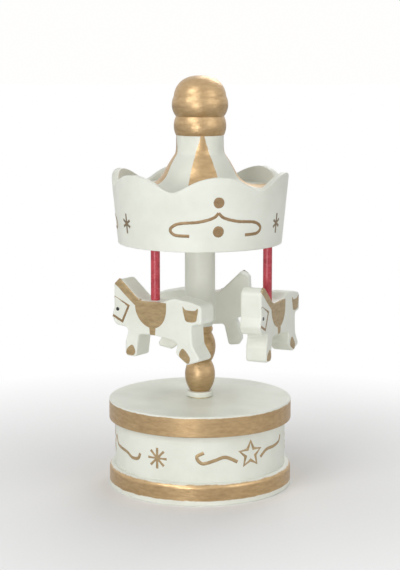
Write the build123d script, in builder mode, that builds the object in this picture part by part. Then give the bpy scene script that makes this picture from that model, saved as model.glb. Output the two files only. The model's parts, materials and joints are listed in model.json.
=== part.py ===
from build123d import *

import math
import os

# Wind-up carousel music box, millimetres. +Z is up, the origin is the centre of the underside,
# and the front is -Y. An azimuth runs from the front towards +X.
# The carousel turns on an arbor that also winds the musical movement inside the base.

os.makedirs("parts", exist_ok=True)

# ---- Clearances ---------------------------------------------------------------------------
RUN = 0.05  # radial play of a journal in its bearing
END_PLAY = 0.1  # play along a shaft
GAP = 0.3  # visible gap between the turning and the standing wood
FACE_GAP = 0.5  # free space round the movement's moving parts

# ---- Base ---------------------------------------------------------------------------------
BASE_LIP = 2.6  # how far the discs stand out from the drum
DRUM_WALL = 4.4
DRUM_CLEAR = 2.6  # from the movement's far bearing to the drum
FOOT_H = 9.6
DRUM_H = 19.9
TOP_H = 9.0
FOOT_ROUND = 2.2
TOP_ROUND = 0.8
ARRIS = 0.4
FOOT_SCREWS = 3
FOOT_SCREW_R = 1.25
FOOT_SCREW_HEAD_R = 2.6
FOOT_SCREW_L = 18.0
FOOT_SCREW_AZ = 30.0
SLOT_W = 0.5
SLOT_H = 0.8
PLATE_SCREW_R = 0.9
PLATE_SCREW_HEAD_R = 1.8
PLATE_SCREW_HEAD_H = 1.1
PLATE_SCREW_GRIP = 5.0  # thread length in the wood

Z_DRUM = FOOT_H
Z_TOP_DISC = Z_DRUM + DRUM_H
Z_BASE_TOP = Z_TOP_DISC + TOP_H

# ---- Stem, column and canopy --------------------------------------------------------------
FLANGE_R = 5.8
FLANGE_H = 2.4
BALUSTER_H = 29.0
COLUMN_R = 6.6
COLUMN_FOOT_R = 5.4
COLUMN_FOOT_H = 3.0
COLUMN_H = 36.8
SPIGOT_R = 3.2
SPIGOT_L = 7.0
FLOOR_R = 35.5
FLOOR_H = 5.0
CROWN_FLARE = 3.0
CROWN_WALL = 2.8
CROWN_PEAK_H = 26.2
CROWN_DIP = 6.3
CROWN_ROUND = 0.6
CROWN_WAVES = 6
CROWN_PEAK_AZ = 12.0
LEDGE_H = 15.0  # seat of the roof disc above the floor
ROOF_DISC_H = 4.2
ROOF_FLARE_R = 26.0
ROOF_COLLAR_R = 10.25
ROOF_COLLAR_H = 3.4
ROOF_H = 22.2
FINIAL_LOWER_R = 11.3
FINIAL_UPPER_R = 12.1
FINIAL_GROOVE_R = 10.4
FINIAL_LOWER_H = 8.0
FINIAL_UPPER_H = 8.6
FINIAL_DOME_H = 8.8

Z_FLANGE = Z_BASE_TOP + GAP
Z_BALUSTER = Z_FLANGE + FLANGE_H
Z_COLUMN = Z_BALUSTER + BALUSTER_H
Z_FLOOR = Z_COLUMN + COLUMN_H
Z_CROWN = Z_FLOOR + FLOOR_H
Z_PEAK = Z_CROWN + CROWN_PEAK_H
Z_LEDGE = Z_CROWN + LEDGE_H
Z_ROOF = Z_LEDGE + ROOF_DISC_H
Z_FINIAL = Z_ROOF + ROOF_H

# ---- Horses and poles ---------------------------------------------------------------------
HORSE_AZ = (-35.0, 62.0, 171.5)
HORSE_DROP = (0.0, 2.4, 5.9)  # how much lower each hangs than the first
HORSE_TIP = (0.0, 0.0, 5.0)  # how far its nose is tipped up
HORSE_TURN = (0.0, 4.0, 0.0)  # how far its nose is turned in from a tangent
HORSE_T = 9.5
HORSE_ROUND = 0.8
POLE_EDGE = 2.9  # from a pole's centre to the edge of the canopy floor
POLE_R = 1.95
POLE_IN_HORSE = 9.5
Z_SADDLE = 85.7

# ---- Movement -----------------------------------------------------------------------------
PLATE_T = 1.2
PLATE_LEFT = 17.0
PLATE_FRONT = 17.0
PLATE_BACK = 20.6
ARBOR_R = 1.6
ARBOR_IN_STEM = 14.0
BUSH_R = 3.2
WASHER_R = 5.0
CORE_R = 2.4
HOUSING_R = 10.0
HOUSING_WALL = 0.7
HOUSING_H = 12.1
SPRING_T = 0.28
SPRING_H = 10.4
SPRING_TURNS = 7
CLIP_R = 3.0
CLIP_T = 0.45
GROOVE_R = 1.2
HUB_R = 3.2
HUB_H = 1.7
WEB_T = 1.2
RATCHET_R = 5.4
RATCHET_T = 1.2
RATCHET_TEETH = 16
PRESSURE_ANGLE = 20.0

FACE_MODULE = 0.75
FACE_TEETH = 36
CYL_PINION_TEETH = 12
FACE_WIDTH = 2.4
PINION_WIDTH = 1.8
FACE_ADDENDUM = 0.5
FACE_DEDENDUM = 0.9
FACE_BACKLASH = 0.35

FINE_MODULE = 0.4
CYL_WHEEL_TEETH = 42
GOV_PINION_TEETH = 9
GOV_WHEEL_TEETH = 18
FINE_ADDENDUM = 0.3
FINE_DEDENDUM = 0.42
FINE_BACKLASH = 0.14

CYL_R = 5.4
CYL_L = 12.0
CYL_SHAFT_R = 1.0
PIN_H = 0.4
PIN_W = 0.3
COMB_TINES = 18
TINE_GAP = 0.16
TINE_L = 6.0
TINE_T = 0.5
COMB_T = 1.0
COMB_HEEL = 4.0
BEARING_T = 1.0
BEARING_W = 7.0
WHEEL_T = 1.2
GOV_SHAFT_R = 0.6
WORM_R = 1.4
WORM_CORE_R = 0.9
WORM_TIP_R = 1.65
WORM_TURNS = 5.5
WORM_SHAFT_R = 0.5
FAN_R = 3.4
FAN_H = 3.0
FAN_T = 0.5
FRAME_T = 0.9
STEP_R = 1.8  # of the step bearing under the worm

Z_PLATE = Z_TOP_DISC - PLATE_T
Z_HOUSING = Z_PLATE - HOUSING_H
AXIS_DROP = 9.3  # from the bedplate's underside down to the two level shafts
Z_AXIS = Z_PLATE - AXIS_DROP  # height of the cylinder's and the governor wheel's shafts
PINION_PITCH_R = FACE_MODULE * CYL_PINION_TEETH / 2
FACE_PITCH_R = FACE_MODULE * FACE_TEETH / 2
Z_FACE_PITCH = Z_AXIS - PINION_PITCH_R
Z_FACE_ROOT = Z_FACE_PITCH - FACE_DEDENDUM
Z_WHEEL = Z_FACE_ROOT - 2.1
X_PINION = FACE_PITCH_R - PINION_WIDTH / 2
X_CYL = FACE_PITCH_R + FACE_WIDTH / 2 + FACE_GAP + 0.2
X_CYL_END = X_CYL + CYL_L
X_CYL_WHEEL = X_CYL_END + 0.3
X_BEARING_B = X_CYL_WHEEL + WHEEL_T + FACE_GAP
X_BEARING_A = HOUSING_R + FACE_GAP
CYL_WHEEL_R = FINE_MODULE * CYL_WHEEL_TEETH / 2
GOV_PINION_R = FINE_MODULE * GOV_PINION_TEETH / 2
GOV_WHEEL_R = FINE_MODULE * GOV_WHEEL_TEETH / 2
Y_GOV = CYL_WHEEL_R + GOV_PINION_R
Y_WORM = Y_GOV + GOV_WHEEL_R + WORM_R
X_WORM = 21.0
WORM_PITCH = math.pi * FINE_MODULE
PIN_TIP_R = CYL_R + PIN_H
CAVITY_R = X_BEARING_B + BEARING_T + DRUM_CLEAR
DRUM_R = CAVITY_R + DRUM_WALL
BASE_R = DRUM_R + BASE_LIP
POLE_CIRCLE_R = FLOOR_R - POLE_EDGE
CROWN_TOP_R = FLOOR_R + CROWN_FLARE
SEATED = (Align.CENTER, Align.CENTER, Align.MIN)


def save(builder, name):
    """Label a finished piece and write its file."""
    builder.part.label = name
    export_step(builder.part, "parts/" + name + ".step")


def around(radius, azimuth):
    """The point at a radius and an azimuth, measured from the front towards +X."""
    angle = math.radians(azimuth)
    return (radius * math.sin(angle), -radius * math.cos(angle))


def tooth_half_angle(radius, module, teeth, backlash):
    """Half the angle that an involute tooth fills at a radius, in radians."""
    pitch_r = module * teeth / 2
    pressure = math.radians(PRESSURE_ANGLE)
    base_r = pitch_r * math.cos(pressure)
    local = math.acos(min(1.0, base_r / radius))
    growth = (math.tan(pressure) - pressure) - (math.tan(local) - local)
    return (math.pi * module - 2 * backlash) / (4 * pitch_r) + growth


def gear_outline(module, teeth, addendum, dedendum, backlash, phase=0.0):
    """Corner points of a spur gear; phase is the place of its first tooth, in tooth pitches."""
    pitch_r = module * teeth / 2
    base_r = pitch_r * math.cos(math.radians(PRESSURE_ANGLE))
    root_r = pitch_r - dedendum
    radii = [root_r, pitch_r, pitch_r + addendum]
    if base_r > root_r + 0.05:
        radii.insert(1, base_r)
    points = []
    for tooth in range(teeth):
        middle = 2 * math.pi * (tooth + phase) / teeth
        sides = [(r, -tooth_half_angle(r, module, teeth, backlash)) for r in radii]
        sides += [(r, -angle) for r, angle in reversed(sides)]
        for r, angle in sides:
            points.append((r * math.cos(middle + angle), r * math.sin(middle + angle)))
    return points


# ---- Base: foot disc, drum and top disc ---------------------------------------------------
SCREW_CIRCLE_R = DRUM_R - DRUM_WALL / 2
SLOT_L = FOOT_SCREW_HEAD_R * 1.4

with BuildPart() as foot_disc:
    with BuildSketch():
        Circle(BASE_R)
    extrude(amount=FOOT_H)
    rims = foot_disc.edges().filter_by(GeomType.CIRCLE).sort_by(Axis.Z)
    fillet(rims[-1], FOOT_ROUND)
    chamfer(rims[0], ARRIS)
    with PolarLocations(SCREW_CIRCLE_R, FOOT_SCREWS, start_angle=FOOT_SCREW_AZ):
        Cone(FOOT_SCREW_HEAD_R, 0, FOOT_SCREW_HEAD_R, align=SEATED, mode=Mode.SUBTRACT)
        Cylinder(FOOT_SCREW_R, FOOT_H, align=SEATED, mode=Mode.SUBTRACT)
save(foot_disc, "foot_disc")

with BuildPart() as foot_screws:
    with PolarLocations(SCREW_CIRCLE_R, FOOT_SCREWS, start_angle=FOOT_SCREW_AZ):
        Cone(FOOT_SCREW_HEAD_R, 0, FOOT_SCREW_HEAD_R, align=SEATED)
        Cylinder(FOOT_SCREW_R, FOOT_SCREW_L, align=SEATED)
        Box(SLOT_L, SLOT_W, SLOT_H, align=SEATED, mode=Mode.SUBTRACT)
        Box(SLOT_W, SLOT_L, SLOT_H, align=SEATED, mode=Mode.SUBTRACT)
save(foot_screws, "foot_screws")

with BuildPart() as base_drum:
    with BuildSketch(Plane.XY.offset(Z_DRUM)):
        Circle(DRUM_R)
        Circle(CAVITY_R, mode=Mode.SUBTRACT)
    extrude(amount=DRUM_H)
    with BuildSketch(Plane.XY.offset(Z_DRUM)):
        with PolarLocations(SCREW_CIRCLE_R, FOOT_SCREWS, start_angle=FOOT_SCREW_AZ):
            Circle(FOOT_SCREW_R)
    extrude(amount=FOOT_SCREW_L - FOOT_H, mode=Mode.SUBTRACT)
save(base_drum, "base_drum")

# Screws that hang the bedplate under the top disc
PLATE_SCREWS = [(-12.5, -8.5), (-12.5, 8.5), (7.5, -14.0)]

with BuildPart() as top_disc:
    with BuildSketch(Plane.XY.offset(Z_TOP_DISC)):
        Circle(BASE_R)
    extrude(amount=TOP_H)
    rims = top_disc.edges().filter_by(GeomType.CIRCLE).sort_by(Axis.Z)
    fillet(rims[-1], TOP_ROUND)
    fillet(rims[0], ARRIS)
    with BuildSketch(Plane.XY.offset(Z_TOP_DISC)):
        Circle(BUSH_R)
    extrude(amount=TOP_H, mode=Mode.SUBTRACT)
    with BuildSketch(Plane.XY.offset(Z_TOP_DISC)):
        with Locations(*PLATE_SCREWS):
            Circle(PLATE_SCREW_R)
    extrude(amount=PLATE_SCREW_GRIP, mode=Mode.SUBTRACT)
save(top_disc, "top_disc")

# ---- Movement: bedplate, bush, spring housing and mainspring ------------------------------
COMB_X0 = X_CYL
COMB_Y = -(PIN_TIP_R + 0.15)
COMB_HEEL_Y = COMB_Y - TINE_L
Z_COMB = Z_AXIS + 1.0
COMB_SCREW_R = 0.7
COMB_HEAD_R = 1.3
COMB_HEAD_H = 0.9
COMB_SCREWS = [(COMB_X0 + 0.2 * CYL_L, COMB_HEEL_Y - COMB_HEEL / 2)]
COMB_SCREWS.append((COMB_X0 + 0.8 * CYL_L, COMB_HEEL_Y - COMB_HEEL / 2))
GOV_SCREW_X = 3.1
GOV_SCREW_Y = Y_WORM - 1.0
GOV_SCREWS = [(X_WORM - GOV_SCREW_X, GOV_SCREW_Y), (X_WORM + GOV_SCREW_X, GOV_SCREW_Y)]
BEARING_FOOT = 4.0
BEARING_A_SCREW = (X_BEARING_A + BEARING_T + BEARING_FOOT / 2 - 0.3, 0.0)
EAR_L = 6.0  # the outer bearing's foot runs past its side
EAR_LAP = 0.5
BEARING_B_SCREW = (X_BEARING_B - BEARING_FOOT / 2, BEARING_W / 2 + EAR_L / 2)
SMALL_SCREWS = [BEARING_A_SCREW, BEARING_B_SCREW] + GOV_SCREWS
SMALL_SCREW_R = 0.6
SMALL_HEAD_R = 1.1
SMALL_HEAD_H = 0.8
PLATE_R = CAVITY_R - 0.7
PLATE_CORNER = 4.0
BLOCK_DRILL = 3.0  # depth of the comb screws' holes

with BuildPart() as bedplate:
    with BuildSketch(Plane.XY.offset(Z_PLATE)):
        with Locations(((CAVITY_R - PLATE_LEFT) / 2, (PLATE_BACK - PLATE_FRONT) / 2)):
            RectangleRounded(CAVITY_R + PLATE_LEFT, PLATE_BACK + PLATE_FRONT, PLATE_CORNER)
        Circle(PLATE_R, mode=Mode.INTERSECT)
        Circle(BUSH_R, mode=Mode.SUBTRACT)
        with Locations(*PLATE_SCREWS):
            Circle(PLATE_SCREW_R + RUN, mode=Mode.SUBTRACT)
        with Locations(*SMALL_SCREWS):
            Circle(SMALL_SCREW_R, mode=Mode.SUBTRACT)
    extrude(amount=PLATE_T)
    # Cast block that carries the comb
    with BuildSketch(Plane.XY.offset(Z_COMB)):
        with Locations((COMB_X0, COMB_HEEL_Y)):
            Rectangle(CYL_L, COMB_HEEL, align=(Align.MIN, Align.MAX))
    extrude(amount=Z_PLATE - Z_COMB)
    with BuildSketch(Plane.XY.offset(Z_COMB)):
        with Locations(*COMB_SCREWS):
            Circle(COMB_SCREW_R)
    extrude(amount=BLOCK_DRILL, mode=Mode.SUBTRACT)
save(bedplate, "bedplate")


def hanging_screws(places, z_seat, shank_r, head_r, head_h, length):
    """Cheese-head screws driven upwards, their heads under z_seat."""
    with BuildPart() as screws:
        with BuildSketch(Plane.XY.offset(z_seat - head_h)):
            with Locations(*places):
                Circle(head_r)
        extrude(amount=head_h)
        with BuildSketch(Plane.XY.offset(z_seat)):
            with Locations(*places):
                Circle(shank_r)
        extrude(amount=length)
        with BuildSketch(Plane.XY.offset(z_seat - head_h)):
            with Locations(*places):
                Rectangle(2 * head_r, 0.3)
        extrude(amount=head_h / 2, mode=Mode.SUBTRACT)
    return screws


plate_screws = hanging_screws(
    PLATE_SCREWS,
    Z_PLATE,
    PLATE_SCREW_R,
    PLATE_SCREW_HEAD_R,
    PLATE_SCREW_HEAD_H,
    PLATE_T + PLATE_SCREW_GRIP,
)
save(plate_screws, "plate_screws")

with BuildPart() as arbor_bush:
    with BuildSketch(Plane.XY.offset(Z_PLATE)):
        Circle(BUSH_R)
        Circle(ARBOR_R + RUN, mode=Mode.SUBTRACT)
    extrude(amount=Z_BASE_TOP - Z_PLATE)
save(arbor_bush, "arbor_bush")

with BuildPart() as thrust_washer:
    with BuildSketch(Plane.XY.offset(Z_BASE_TOP)):
        Circle(WASHER_R)
        Circle(ARBOR_R + RUN, mode=Mode.SUBTRACT)
    extrude(amount=GAP - RUN)
save(thrust_washer, "thrust_washer")

with BuildPart() as spring_housing:
    with BuildSketch(Plane.XY.offset(Z_HOUSING)):
        Circle(HOUSING_R)
    extrude(amount=HOUSING_H)
    fillet(spring_housing.edges().filter_by(GeomType.CIRCLE).sort_by(Axis.Z)[0], HOUSING_WALL)
    with BuildSketch(Plane.XY.offset(Z_HOUSING + HOUSING_WALL)):
        Circle(HOUSING_R - HOUSING_WALL)
    extrude(amount=HOUSING_H, mode=Mode.SUBTRACT)
    with BuildSketch(Plane.XY.offset(Z_HOUSING)):
        Circle(ARBOR_R + RUN)
    extrude(amount=HOUSING_WALL, mode=Mode.SUBTRACT)
save(spring_housing, "spring_housing")

SPRING_IN_R = CORE_R + 0.5
SPRING_OUT_R = HOUSING_R - HOUSING_WALL


SPRING_STEP = (SPRING_OUT_R - SPRING_T - SPRING_IN_R) / (2 * SPRING_TURNS)


def spring_side(inner_r):
    """One side of the wound strip: half circles about two centres in turn."""
    side = []
    for half in range(2 * SPRING_TURNS):
        reach = inner_r + SPRING_STEP * half
        sign = 1 if half % 2 == 0 else -1
        grown = reach + SPRING_STEP
        crest = (sign * (reach - grown) / 2, sign * (reach + grown) / 2)
        side.append(ThreePointArc((sign * reach, 0), crest, (-sign * grown, 0)))
    return side


with BuildPart() as mainspring:
    with BuildSketch(Plane.XY.offset(Z_HOUSING + HOUSING_WALL)):
        with BuildLine():
            inside = spring_side(SPRING_IN_R)
            outside = spring_side(SPRING_IN_R + SPRING_T)
            Line(inside[0] @ 0, outside[0] @ 0)
            Line(inside[-1] @ 1, outside[-1] @ 1)
        make_face()
    extrude(amount=SPRING_H)
save(mainspring, "mainspring")

# ---- Movement: comb, bearings and governor frame ------------------------------------------
TINE_PITCH = CYL_L / COMB_TINES

with BuildPart() as comb:
    with BuildSketch(Plane.XY.offset(Z_COMB - COMB_T)):
        with Locations((COMB_X0, COMB_HEEL_Y)):
            Rectangle(CYL_L, COMB_HEEL, align=(Align.MIN, Align.MAX))
        with Locations(*COMB_SCREWS):
            Circle(COMB_SCREW_R, mode=Mode.SUBTRACT)
    extrude(amount=COMB_T)
    with BuildSketch(Plane.XY.offset(Z_COMB - TINE_T)):
        for tine in range(COMB_TINES):
            with Locations((COMB_X0 + TINE_PITCH * (tine + 0.5), COMB_HEEL_Y)):
                Rectangle(TINE_PITCH - TINE_GAP, TINE_L, align=(Align.CENTER, Align.MIN))
    extrude(amount=TINE_T)
    # Tuning weights under the longer notes
    with BuildSketch(Plane.XY.offset(Z_COMB - COMB_T)):
        for tine in range(COMB_TINES // 2):
            with Locations((COMB_X0 + TINE_PITCH * (tine + 0.5), COMB_Y - 0.8)):
                Rectangle(TINE_PITCH - TINE_GAP, 1.6 - 0.1 * tine, align=(Align.CENTER, Align.MAX))
    extrude(amount=COMB_T - TINE_T)
save(comb, "comb")

comb_screws = hanging_screws(
    COMB_SCREWS, Z_COMB - COMB_T, COMB_SCREW_R, COMB_HEAD_R, COMB_HEAD_H, COMB_T + BLOCK_DRILL
)
save(comb_screws, "comb_screws")



def bearing(x_plate, foot_corner, foot_size):
    """Bent-up bearing for the cylinder's shaft with a screwed foot under the bedplate."""
    with BuildPart() as piece:
        with BuildSketch(Plane.YZ.offset(x_plate)):
            with Locations((0, Z_AXIS)):
                Rectangle(BEARING_W, Z_PLATE - Z_AXIS, align=(Align.CENTER, Align.MIN))
                Circle(BEARING_W / 2)
                Circle(CYL_SHAFT_R + RUN, mode=Mode.SUBTRACT)
        extrude(amount=BEARING_T)
        with BuildSketch(Plane.XY.offset(Z_PLATE - BEARING_T)):
            with Locations(foot_corner):
                Rectangle(*foot_size, align=(Align.MIN, Align.MIN))
        extrude(amount=BEARING_T)
    return piece


cylinder_bearing_inner = bearing(
    X_BEARING_A, (X_BEARING_A, -BEARING_W / 2), (BEARING_T + BEARING_FOOT, BEARING_W)
)
with BuildPart(mode=Mode.ADD) as inner_drilled:
    add(cylinder_bearing_inner.part)
    with BuildSketch(Plane.XY.offset(Z_PLATE - BEARING_T)):
        with Locations(BEARING_A_SCREW):
            Circle(SMALL_SCREW_R)
    extrude(amount=BEARING_T, mode=Mode.SUBTRACT)
save(inner_drilled, "cylinder_bearing_inner")

cylinder_bearing_outer = bearing(
    X_BEARING_B,
    (X_BEARING_B - BEARING_FOOT, BEARING_W / 2 - EAR_LAP),
    (BEARING_T + BEARING_FOOT, EAR_L),
)
with BuildPart(mode=Mode.ADD) as outer_drilled:
    add(cylinder_bearing_outer.part)
    with BuildSketch(Plane.XY.offset(Z_PLATE - BEARING_T)):
        with Locations(BEARING_B_SCREW):
            Circle(SMALL_SCREW_R)
    extrude(amount=BEARING_T, mode=Mode.SUBTRACT)
save(outer_drilled, "cylinder_bearing_outer")

small_screws = hanging_screws(
    [BEARING_A_SCREW, BEARING_B_SCREW],
    Z_PLATE - BEARING_T,
    SMALL_SCREW_R,
    SMALL_HEAD_R,
    SMALL_HEAD_H,
    BEARING_T + PLATE_T,
)
save(small_screws, "bearing_screws")

FRAME_HALF = GOV_WHEEL_R - 0.4
FRAME_BACK = Y_WORM + FAN_R + 0.8
CHEEK_HALF = 2.2
Z_WORM_STEP = Z_AXIS - WORM_PITCH * WORM_TURNS / 2 - 1.2
FLANGE_HALF = GOV_SCREW_X + 1.2

with BuildPart() as governor_frame:
    # Back wall and the flange under the bedplate
    with BuildSketch(Plane.XZ.offset(-FRAME_BACK)):
        with Locations((X_WORM, Z_WORM_STEP)):
            Rectangle(2 * FRAME_HALF, Z_PLATE - Z_WORM_STEP, align=(Align.CENTER, Align.MIN))
    extrude(amount=-FRAME_T)
    with BuildSketch(Plane.XY.offset(Z_PLATE - FRAME_T)):
        with Locations((X_WORM, FRAME_BACK + FRAME_T)):
            Rectangle(
                2 * FLANGE_HALF,
                FRAME_BACK + FRAME_T - GOV_SCREW_Y + 2.0,
                align=(Align.CENTER, Align.MAX),
            )
        with Locations(*GOV_SCREWS):
            Circle(SMALL_SCREW_R, mode=Mode.SUBTRACT)
        with Locations((X_WORM, Y_WORM)):
            Circle(WORM_SHAFT_R + RUN, mode=Mode.SUBTRACT)
    extrude(amount=FRAME_T)
    # Step bearing under the worm
    with BuildSketch(Plane.XY.offset(Z_WORM_STEP)):
        with Locations((X_WORM, FRAME_BACK)):
            Rectangle(2 * STEP_R, FRAME_BACK - Y_WORM, align=(Align.CENTER, Align.MAX))
        with Locations((X_WORM, Y_WORM)):
            Circle(STEP_R)
            Circle(WORM_SHAFT_R + RUN, mode=Mode.SUBTRACT)
    extrude(amount=FRAME_T)
    # Two cheeks for the governor wheel's shaft
    for x_cheek in (X_WORM - FRAME_HALF, X_WORM + FRAME_HALF - FRAME_T):
        with BuildSketch(Plane.YZ.offset(x_cheek)):
            with Locations((Y_GOV, Z_AXIS)):
                Rectangle(FRAME_BACK - Y_GOV, 2 * CHEEK_HALF, align=(Align.MIN, Align.CENTER))
                Circle(1.6)
                Circle(GOV_SHAFT_R + RUN, mode=Mode.SUBTRACT)
        extrude(amount=FRAME_T)
save(governor_frame, "governor_frame")

governor_screws = hanging_screws(
    GOV_SCREWS, Z_PLATE - FRAME_T, SMALL_SCREW_R, SMALL_HEAD_R, SMALL_HEAD_H, FRAME_T + PLATE_T
)
save(governor_screws, "governor_screws")

# ---- Movement: winding arbor, great wheel and ratchet -------------------------------------
Z_CLIP = Z_WHEEL - 0.35 - RUN - CLIP_T
Z_ARBOR_END = Z_CLIP - 0.35
Z_HUB = Z_WHEEL - 0.35
Z_RATCHET = Z_WHEEL + WEB_T + 0.1
Z_CORE = Z_HOUSING + HOUSING_WALL + END_PLAY
CORE_H = HOUSING_H - HOUSING_WALL - 2 * END_PLAY

with BuildPart() as arbor:
    with BuildSketch(Plane.XY.offset(Z_ARBOR_END)):
        Circle(ARBOR_R)
    extrude(amount=Z_FLANGE + ARBOR_IN_STEM - Z_ARBOR_END)
    with BuildSketch(Plane.XY.offset(Z_CORE)):
        Circle(CORE_R)
    extrude(amount=CORE_H)
    with BuildSketch(Plane.XY.offset(Z_CLIP)):
        Circle(ARBOR_R)
        Circle(GROOVE_R, mode=Mode.SUBTRACT)
    extrude(amount=CLIP_T, mode=Mode.SUBTRACT)
save(arbor, "arbor")

with BuildPart() as arbor_clip:
    with BuildSketch(Plane.XY.offset(Z_CLIP)):
        Circle(CLIP_R)
        Circle(GROOVE_R, mode=Mode.SUBTRACT)
        with Locations((0, -CLIP_R)):
            Rectangle(2 * GROOVE_R, 2 * CLIP_R, mode=Mode.SUBTRACT)
    extrude(amount=CLIP_T)
save(arbor_clip, "arbor_clip")

FACE_IN_R = FACE_PITCH_R - FACE_WIDTH / 2
FACE_OUT_R = FACE_PITCH_R + FACE_WIDTH / 2


def face_tooth(radius):
    """Section of a face-gear tooth at a radius, drawn across the tooth."""
    share = radius / FACE_PITCH_R
    slope = math.tan(math.radians(PRESSURE_ANGLE))
    middle = (math.pi * FACE_MODULE / 2 - FACE_BACKLASH) / 2
    low = share * (middle + FACE_DEDENDUM * slope)
    high = share * (middle - FACE_ADDENDUM * slope)
    z_low = Z_FACE_ROOT - 0.1
    z_high = Z_FACE_PITCH + FACE_ADDENDUM
    return [(-low, z_low), (low, z_low), (high, z_high), (-high, z_high)]


with BuildPart() as one_tooth:
    for tooth_r in (FACE_IN_R, FACE_OUT_R):
        with BuildSketch(Plane.YZ.offset(tooth_r)):
            with BuildLine():
                Polyline(*face_tooth(tooth_r), close=True)
            make_face()
    loft()

WEB_HOLES = 5
WEB_HOLE_R = 2.1
WEB_HOLE_CIRCLE_R = FACE_IN_R - WEB_HOLE_R - 1.5

with BuildPart() as great_wheel:
    with BuildSketch(Plane.XY.offset(Z_WHEEL)):
        Circle(FACE_OUT_R)
        with PolarLocations(WEB_HOLE_CIRCLE_R, WEB_HOLES, start_angle=180 / WEB_HOLES):
            Circle(WEB_HOLE_R, mode=Mode.SUBTRACT)
    extrude(amount=WEB_T)
    with BuildSketch(Plane.XY.offset(Z_WHEEL)):
        Circle(FACE_OUT_R)
        Circle(FACE_IN_R - 0.4, mode=Mode.SUBTRACT)
    extrude(amount=Z_FACE_ROOT - Z_WHEEL)
    with BuildSketch(Plane.XY.offset(Z_HUB)):
        Circle(HUB_R)
    extrude(amount=Z_WHEEL - Z_HUB + WEB_T)
    with PolarLocations(0, FACE_TEETH):
        add(one_tooth.part)
    with BuildSketch(Plane.XY.offset(Z_HUB)):
        Circle(ARBOR_R + RUN)
    extrude(amount=HUB_H + WEB_T, mode=Mode.SUBTRACT)
save(great_wheel, "great_wheel")

CLICK_PIVOT = (RATCHET_R * 1.55, -1.2)
CLICK_PIVOT_R = 0.7

with BuildPart() as ratchet_wheel:
    with BuildSketch(Plane.XY.offset(Z_RATCHET)):
        with BuildLine():
            corners = []
            for tooth in range(RATCHET_TEETH):
                start = 2 * math.pi * tooth / RATCHET_TEETH
                corners.append((RATCHET_R * math.cos(start), RATCHET_R * math.sin(start)))
                corners.append(
                    ((RATCHET_R - 0.9) * math.cos(start), (RATCHET_R - 0.9) * math.sin(start))
                )
            Polyline(*corners, close=True)
        make_face()
        Circle(ARBOR_R, mode=Mode.SUBTRACT)
    extrude(amount=RATCHET_T)
save(ratchet_wheel, "ratchet_wheel")

with BuildPart() as click:
    with BuildSketch(Plane.XY.offset(Z_RATCHET)):
        with BuildLine():
            Polyline(
                (CLICK_PIVOT[0] - 1.2, CLICK_PIVOT[1]),
                (RATCHET_R - 0.1, 0.6),
                (RATCHET_R + 0.1, 1.5),
                (CLICK_PIVOT[0] + 1.2, CLICK_PIVOT[1]),
                close=True,
            )
        make_face()
        with Locations(CLICK_PIVOT):
            Circle(1.2)
    extrude(amount=RATCHET_T)
    with BuildSketch(Plane.XY.offset(Z_WHEEL + WEB_T)):
        with Locations(CLICK_PIVOT):
            Circle(CLICK_PIVOT_R)
    extrude(amount=Z_RATCHET - Z_WHEEL - WEB_T)
save(click, "click")

# ---- Movement: pinned cylinder, its pinion and its wheel ----------------------------------
with BuildPart() as cylinder:
    with BuildSketch(Plane.YZ.offset(X_BEARING_A)):
        with Locations((0, Z_AXIS)):
            Circle(CYL_SHAFT_R)
    extrude(amount=X_BEARING_B + BEARING_T - X_BEARING_A)
    with BuildSketch(Plane.YZ.offset(X_CYL)):
        with Locations((0, Z_AXIS)):
            Circle(CYL_R)
    extrude(amount=CYL_L)
    # Two pins a track, spread round the barrel
    for pin in range(2 * COMB_TINES):
        track = pin % COMB_TINES
        spot = Location((X_CYL + TINE_PITCH * (track + 0.5), 0, Z_AXIS), (pin * 137.5, 0, 0))
        with Locations(spot):
            with Locations((0, 0, CYL_R - 0.2)):
                Box(PIN_W, PIN_W, PIN_H + 0.2, align=SEATED)
save(cylinder, "cylinder")


def shaft_gear(x_start, y, width, bore_r, outline):
    """Spur gear on a shaft along X."""
    with BuildPart() as gear:
        with BuildSketch(Plane(origin=(x_start, y, Z_AXIS), x_dir=(0, 1, 0), z_dir=(1, 0, 0))):
            with BuildLine():
                Polyline(*outline, close=True)
            make_face()
            if bore_r:
                Circle(bore_r, mode=Mode.SUBTRACT)
        extrude(amount=width)
    return gear


cylinder_pinion = shaft_gear(
    X_PINION,
    0.0,
    PINION_WIDTH,
    CYL_SHAFT_R,
    gear_outline(
        FACE_MODULE, CYL_PINION_TEETH, FACE_ADDENDUM, FACE_DEDENDUM, FACE_BACKLASH, phase=0.5
    ),
)
save(cylinder_pinion, "cylinder_pinion")

cylinder_wheel = shaft_gear(
    X_CYL_WHEEL,
    0.0,
    WHEEL_T,
    CYL_SHAFT_R,
    gear_outline(FINE_MODULE, CYL_WHEEL_TEETH, FINE_ADDENDUM, FINE_DEDENDUM, FINE_BACKLASH),
)
save(cylinder_wheel, "cylinder_wheel")

# ---- Movement: governor wheel, worm and air fan -------------------------------------------
GOV_OVERHANG = 0.3
X_GOV_PINION = X_CYL_WHEEL - 0.1

with BuildPart() as governor_pinion:
    with BuildSketch(Plane.YZ.offset(X_WORM - FRAME_HALF - GOV_OVERHANG)):
        with Locations((Y_GOV, Z_AXIS)):
            Circle(GOV_SHAFT_R)
    extrude(amount=X_GOV_PINION - X_WORM + FRAME_HALF + GOV_OVERHANG)
    with BuildSketch(Plane(origin=(X_GOV_PINION, Y_GOV, Z_AXIS), x_dir=(0, 1, 0), z_dir=(1, 0, 0))):
        with BuildLine():
            Polyline(
                *gear_outline(
                    FINE_MODULE, GOV_PINION_TEETH, FINE_ADDENDUM, FINE_DEDENDUM, FINE_BACKLASH
                ),
                close=True,
            )
        make_face()
    extrude(amount=WHEEL_T + 0.2)
save(governor_pinion, "governor_pinion")

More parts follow.
